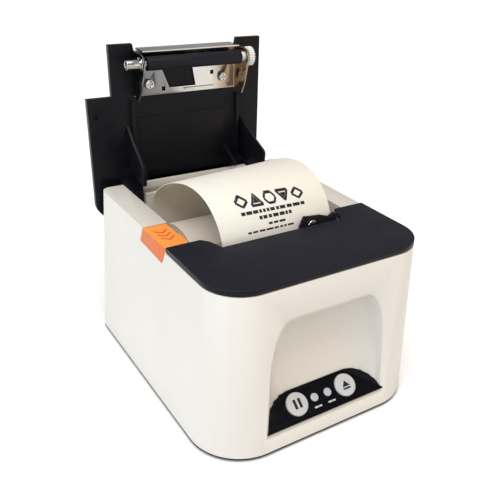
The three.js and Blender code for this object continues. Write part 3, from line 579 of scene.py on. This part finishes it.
# ---- Operator panel --------------------------------------------------------
FACE_BAND = 0.01 * MM
ICON_HEIGHT = 0.22 * MM
LEGEND_HEIGHT = 0.12 * MM
LEGEND_SUNK = 0.02 * MM
LEGEND_V = (-6.2 * MM, -5.2 * MM)
LEGEND_FROM_CENTRE = 5.2 * MM
LEGEND_WORDS = (2.8 * MM, 2.1 * MM)
LEGEND_PITCH = 3.2 * MM
PAUSE_ICON = (bar(-2.6, -0.8, -3, 3), bar(0.8, 2.6, -3, 3))
FEED_ICON = ([(-2.8, -1.2), (2.8, -1.2), (0, 2.6)], bar(-2.8, 2.8, -3, -1.9))
KEYS = (("pause_button", "pause_key", PAUSE_ICON), ("feed_button", "feed_key", FEED_ICON))


def panel_slope():
    axis = JOINTS["pause_press"]["axis"]
    return math.atan2(axis[1], -axis[2])


def panel_frame():
    """The matrix from a plan drawn on the sloping panel to the row frame."""
    centre = (middle_of("pause_button") + middle_of("feed_button")) / 2
    return Matrix.Translation(centre) @ Matrix.Rotation(panel_slope(), 4, "X")


def key_face(name):
    """The matrix from a plan drawn on the key's flat top to the row frame."""
    vertices = frame["nodes"][name].data.vertices
    slope = panel_slope()
    normal = Vector((0, -math.sin(slope), math.cos(slope)))
    top = max(normal.dot(vertex.co) for vertex in vertices)
    rim = [vertex.co for vertex in vertices if normal.dot(vertex.co) > top - FACE_BAND]
    centre = sum(rim, Vector()) / len(rim)
    return Matrix.Translation(centre) @ Matrix.Rotation(slope, 4, "X")


def key_with_icon(key, body, icon):
    finer(key, 0.7)
    place = key_face(key) @ Matrix.Translation((0, 0, -SUNK))
    outlines = [[(u * MM, v * MM) for u, v in outline] for outline in icon]
    marks = [prism("icon", outline, ICON_HEIGHT, place) for outline in outlines]
    dress(joined(body + "_icon", marks), body, "black_plastic", LEGEND_BLACK)


def panel_height(place):
    """How far the panel's face lies from the plane of the plan, along its normal."""
    normal = place.to_3x3() @ UP
    start = place @ Vector((0, sum(LEGEND_V) / 2, 20 * MM))
    spot = BVH["control_panel"].ray_cast(start, -normal)[0]
    return normal.dot(spot - place.translation) - LEGEND_SUNK


def panel_legend():
    """Short bars below the two lamps, in place of words."""
    place = panel_frame()
    on_face = place @ Matrix.Translation((0, 0, panel_height(place)))
    bars = []
    for side in (-1, 1):
        for index, length in enumerate(LEGEND_WORDS):
            u = side * LEGEND_FROM_CENTRE - 2.6 * MM + index * LEGEND_PITCH
            bars.append(prism("legend", bar(u, u + length, *LEGEND_V), LEGEND_HEIGHT, on_face))
    dress(joined("panel_legend", bars), "housing", "grey_button", LEGEND_WHITE)


def operator_panel():
    """The panel with its two keys, two lamps and plain marks."""
    finer("control_panel", 0.25, MATERIALS["panel_black"])
    for key, body, icon in KEYS:
        key_with_icon(key, body, icon)
    for lamp in ("power_led", "error_led"):
        finer(lamp, 0.8)
    panel_legend()


# ---- Paper roll ------------------------------------------------------------
ROLL_LAYERS = 74
ROLL_TURNS = 96
CORE_GAP = 0.2 * MM
DEEPEST_TURN = 0.35
END_FACE_TILT = 0.5


def wound_end(dice, end, inward, inner, outer):
    """The rings of one end face, whose turns of paper sink by uneven amounts."""
    rings = []
    for layer in range(ROLL_LAYERS + 1):
        radius = inner + (outer - inner) * layer / ROLL_LAYERS
        sink = 0 if layer in (0, ROLL_LAYERS) else dice.uniform(0, DEEPEST_TURN) * MM
        rings.append((end + inward * sink, radius))
    return rings


def paper_roll():
    """The roll, its ends wound in many layers, with the turns uneven as on a used roll."""
    low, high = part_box("paper_roll")
    inner = half_height("roll_core") + CORE_GAP
    outer = half_height("paper_roll")
    dice = random.Random(3)
    left = wound_end(dice, low.x, 1, inner, outer)
    right = wound_end(dice, high.x, -1, inner, outer)
    piece = turned_about_x("wound_roll", left + right[::-1], middle_of("paper_roll"), ROLL_TURNS)
    for face in piece.data.polygons:
        face.use_smooth = abs(face.normal.x) < END_FACE_TILT
    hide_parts("paper_roll")
    dress(piece, "roll", "paper")


# ---- Platen ----------------------------------------------------------------
SHAFT_GAP = 0.3 * MM
SOFT_END = 0.9 * MM
SOFT_STEPS = 6
ROLLER_TURNS = 64
ROLLER_SHARP = math.radians(50)
CLIP_OPENING = math.radians(38)
CLIP_STEPS = 22
CLIP_THICKNESS = 0.5 * MM
CLIP_WIDTH = 1.7 * MM
CLIP_GAP = 0.1 * MM


def platen_roller():
    """A ground rubber sleeve with softly turned-in ends."""
    low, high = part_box("platen_roller")
    radius = half_height("platen_roller")
    left = [(low.x, half_height("platen_shaft") + SHAFT_GAP)]
    for step in range(1, SOFT_STEPS + 1):
        turn = step / SOFT_STEPS * math.pi / 2
        left.append((low.x + SOFT_END * (1 - math.cos(turn)), radius - SOFT_END * (1 - math.sin(turn))))
    right = [(low.x + high.x - x, r) for x, r in left[::-1]]
    piece = turned_about_x("rubber_platen", left + right, middle_of("platen_roller"), ROLLER_TURNS)
    piece.data.polygons.foreach_set("use_smooth", [True] * len(piece.data.polygons))
    piece.data.set_sharp_from_angle(angle=ROLLER_SHARP)
    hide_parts("platen_roller")
    dress(piece, "platen", "dark_rubber")


def retaining_clips():
    """Sprung C-shaped clips that hold the bushes against the bracket's ears."""
    axis = middle_of("platen_shaft")
    reach = half_height("platen_bush_left")
    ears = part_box("platen_bracket")
    span = 2 * math.pi - 2 * CLIP_OPENING
    turns = [CLIP_OPENING + span * k / CLIP_STEPS for k in range(CLIP_STEPS + 1)]
    outer = [((reach + CLIP_WIDTH) * math.sin(t), (reach + CLIP_WIDTH) * math.cos(t)) for t in turns]
    inner = [((reach + CLIP_GAP) * math.sin(t), (reach + CLIP_GAP) * math.cos(t)) for t in turns]
    for side, x in (("left", ears[0].x - 0.7 * MM), ("right", ears[1].x + 0.2 * MM)):
        place = Matrix.Translation((x, axis.y, axis.z)) @ TURN_TO_X
        clip = prism("bush_clip_" + side, outer + inner[::-1], CLIP_THICKNESS, place)
        round_edges(clip, 0.08, 2)
        dress(clip, "cover", "polished_steel")


# ---- Rear sockets and switch -----------------------------------------------
PIN_RADIUS = 0.9 * MM
PIN_DEPTH = 9.5 * MM
SOCKET_DEPTH = 9.8 * MM
CONTACT_COUNT = 6
CONTACT_PITCH = 1.3 * MM
CONTACT_HALF = 0.3 * MM
CONTACTS_BELOW_TOP = 4.6 * MM
MARK_THICKNESS = 0.2 * MM
MARK_SUNK = 0.05 * MM
RING_STEPS = 24
RING_RADII = (0.8 * MM, 1.2 * MM)
RING_ABOVE_FOOT = 2.2 * MM
BAR_BELOW_TOP = 1.8 * MM


def in_socket(x, back, depth, z):
    """The matrix from a plan that faces the rear, at a depth inside the socket's mouth."""
    return Matrix.Translation((x, back - depth, z)) @ TURN_TO_Y


def jack_pin():
    middle = middle_of("power_jack")
    place = in_socket(middle.x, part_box("power_jack")[1].y, PIN_DEPTH, middle.z)
    pin = prism("jack_pin", circle(PIN_RADIUS, 20), 8.5 * MM, place)
    round_edges(pin, 0.3, 3)
    dress(pin, "housing", "polished_steel")


def data_tongue():
    middle = middle_of("data_port")
    place = in_socket(middle.x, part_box("data_port")[1].y, SOCKET_DEPTH, middle.z)
    tongue = prism("data_tongue", bar(-2.8 * MM, 2.8 * MM, -1.6 * MM, 1.6 * MM), 8.8 * MM, place)
    round_edges(tongue, 0.25, 2)
    dress(tongue, "housing", "black_plastic")


def drawer_contacts():
    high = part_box("drawer_port")[1]
    outline = bar(-CONTACT_HALF, CONTACT_HALF, -CONTACT_HALF, CONTACT_HALF)
    contacts = []
    for index in range(CONTACT_COUNT):
        x = middle_of("drawer_port").x + (index - (CONTACT_COUNT - 1) / 2) * CONTACT_PITCH
        place = in_socket(x, high.y, SOCKET_DEPTH, high.z - CONTACTS_BELOW_TOP)
        contacts.append(prism("contact", outline, 7.5 * MM, place))
    dress(joined("drawer_contacts", contacts), "housing", "polished_steel")


def on_rocker(z):
    """The matrix from a plan on the rocker's face, at a height, to the row frame."""
    low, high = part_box("power_rocker")
    start = Vector(((low.x + high.x) / 2, high.y + 10 * MM, z))
    spot, normal, *_ = BVH["power_rocker"].ray_cast(start, -REARWARD)
    turn = normal.to_track_quat("Z", "Y").to_matrix().to_4x4()
    return Matrix.Translation(spot - normal * MARK_SUNK) @ turn


def ring_pieces(place):
    """A flat ring made of short straight pieces."""
    turns = [2 * math.pi * k / RING_STEPS for k in range(RING_STEPS + 1)]
    inner, outer = RING_RADII
    pieces = []
    for a, b in zip(turns, turns[1:]):
        corners = [(outer, a), (outer, b), (inner, b), (inner, a)]
        outline = [(radius * math.cos(t), radius * math.sin(t)) for radius, t in corners]
        pieces.append(prism("mark", outline, MARK_THICKNESS, place))
    return pieces


def rocker_marks():
    """The ring and the bar that stand for off and on."""
    low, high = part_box("power_rocker")
    shapes = ring_pieces(on_rocker(low.z + RING_ABOVE_FOOT))
    line = bar(-1.8 * MM, 1.8 * MM, -0.3 * MM, 0.3 * MM)
    shapes.append(prism("mark", line, MARK_THICKNESS, on_rocker(high.z - BAR_BELOW_TOP)))
    dress(joined("rocker_marks", shapes), "rocker", "grey_button", LEGEND_WHITE)


# ---- Everything else -------------------------------------------------------
USUAL_BEVEL = 0.25
BEVELS = {
    "main_body": 0.7, "rear_cover": 0.5, "roll_guide_left": 0.5, "roll_guide_right": 0.5,
    "tear_bar": 0.12, "platen_gear": 0.12, "idler_gear": 0.12, "latch_plate": 0.4,
    "latch_rivet": 0.6, "power_rocker": 0.5, "paper_bucket": 0.4, "bracket_screw_left": 0.3,
    "bracket_screw_right": 0.3, "base_plate": 0.3,
}
REBUILT = (
    "platen_bracket", "front_lid", "release_lever", "receipt_strip", "control_panel", "pause_button",
    "feed_button", "power_led", "error_led", "paper_roll", "platen_roller",
)


def remaining_nodes():
    """Every node that has no piece of its own yet: the same solid with small rounded edges."""
    for node in SLOT_OF:
        if node not in REBUILT:
            finer(node, BEVELS.get(node, USUAL_BEVEL))


# ---- Stage -----------------------------------------------------------------
FLOOR_HALF = 9.0
FLOOR_COLOUR = (0.96, 0.96, 0.96, 1)
SURROUNDINGS = 0.36
LAMP_SIZE = 0.9
LAMPS = (
    ("cool_left", (-1.55, -0.35, 0.45), 10.5, (0.64, 0.83, 1.0)),
    ("warm_front", (0.95, -1.25, 0.5), 2.5, (1.0, 0.70, 0.38)),
)
SKY_STRENGTH = 2.75
SKY_WIDTH = 55
SKY_TINT = (1.0, 0.98, 0.95)
SKY_TURN = (20, -14, 0)
AIM_HEIGHT = 0.08


def floor():
    """A plain pale floor."""
    mesh = bpy.data.meshes.new("floor")
    corners = [(x, y, 0) for x, y in bar(-FLOOR_HALF, FLOOR_HALF, -FLOOR_HALF, FLOOR_HALF)]
    mesh.from_pydata(corners, [], [(0, 1, 2, 3)])
    piece = link("floor", mesh)
    material, _, shader = new_material("floor")
    shader.inputs["Base Color"].default_value = FLOOR_COLOUR
    shader.inputs["Roughness"].default_value = 0.95
    shader.inputs["Specular IOR Level"].default_value = 0.0
    mesh.materials.append(material)


def surroundings():
    """An even white light from all round."""
    world = bpy.data.worlds.new("world")
    world.use_nodes = True
    background = world.node_tree.nodes["Background"]
    background.inputs["Color"].default_value = (1.0, 1.0, 1.0, 1)
    background.inputs["Strength"].default_value = SURROUNDINGS
    bpy.context.scene.world = world


def area_lamp(name, place, power, tint):
    """A square lamp that points at the printer."""
    light = bpy.data.lights.new(name, "AREA")
    light.size = LAMP_SIZE
    light.energy = power
    light.color = tint
    lamp = link(name, light)
    lamp.location = place
    aim = Vector((0, 0, AIM_HEIGHT)) - Vector(place)
    lamp.rotation_euler = aim.to_track_quat("-Z", "Y").to_euler()


def high_light():
    """A very wide sun from above and a little from the front left."""
    sky = bpy.data.lights.new("high_soft", "SUN")
    sky.energy = SKY_STRENGTH
    sky.angle = math.radians(SKY_WIDTH)
    sky.color = SKY_TINT
    overhead = link("high_soft", sky)
    overhead.rotation_euler = [math.radians(angle) for angle in SKY_TURN]


def studio():
    floor()
    surroundings()
    for lamp in LAMPS:
        area_lamp(*lamp)
    high_light()


# ---- Camera ----------------------------------------------------------------
AZIMUTH, ELEVATION, ROLL = (math.radians(angle) for angle in (-34.29, 28.17, 2.67))
CAMERA_DISTANCE = 0.4347
CAMERA_TARGET = Vector((0, -0.00229, AIM_HEIGHT))
CAMERA_ACROSS = 0.01373
CAMERA_ABOVE = -0.00477


def camera():
    """A camera at the front left, above the printer, with a slight roll."""
    level = math.cos(ELEVATION)
    back = Vector((math.sin(AZIMUTH) * level, -math.cos(AZIMUTH) * level, math.sin(ELEVATION)))
    right = Vector((math.cos(AZIMUTH), math.sin(AZIMUTH), 0))
    up = back.cross(right)
    target = CAMERA_TARGET + right * CAMERA_ACROSS + up * CAMERA_ABOVE
    side = right * math.cos(ROLL) + up * math.sin(ROLL)
    over = up * math.cos(ROLL) - right * math.sin(ROLL)
    data = bpy.data.cameras.new("camera")
    data.sensor_width = 36
    data.lens = 46.83
    data.shift_x = -0.049
    data.shift_y = 0.031
    eye = link("camera", data)
    turn = Matrix((side, over, back)).transposed().to_4x4()
    eye.matrix_world = Matrix.Translation(target + back * CAMERA_DISTANCE) @ turn
    bpy.context.scene.camera = eye
    bpy.context.scene.view_settings.view_transform = "Standard"


camera()
studio()
front_lid()
release_lever()
receipt_strip()
operator_panel()
paper_roll()
platen_roller()
finer("platen_bracket", 0.2, BRACKET_PAINTED_REFLECTION)
retaining_clips()
jack_pin()
data_tongue()
drawer_contacts()
rocker_marks()
remaining_nodes()
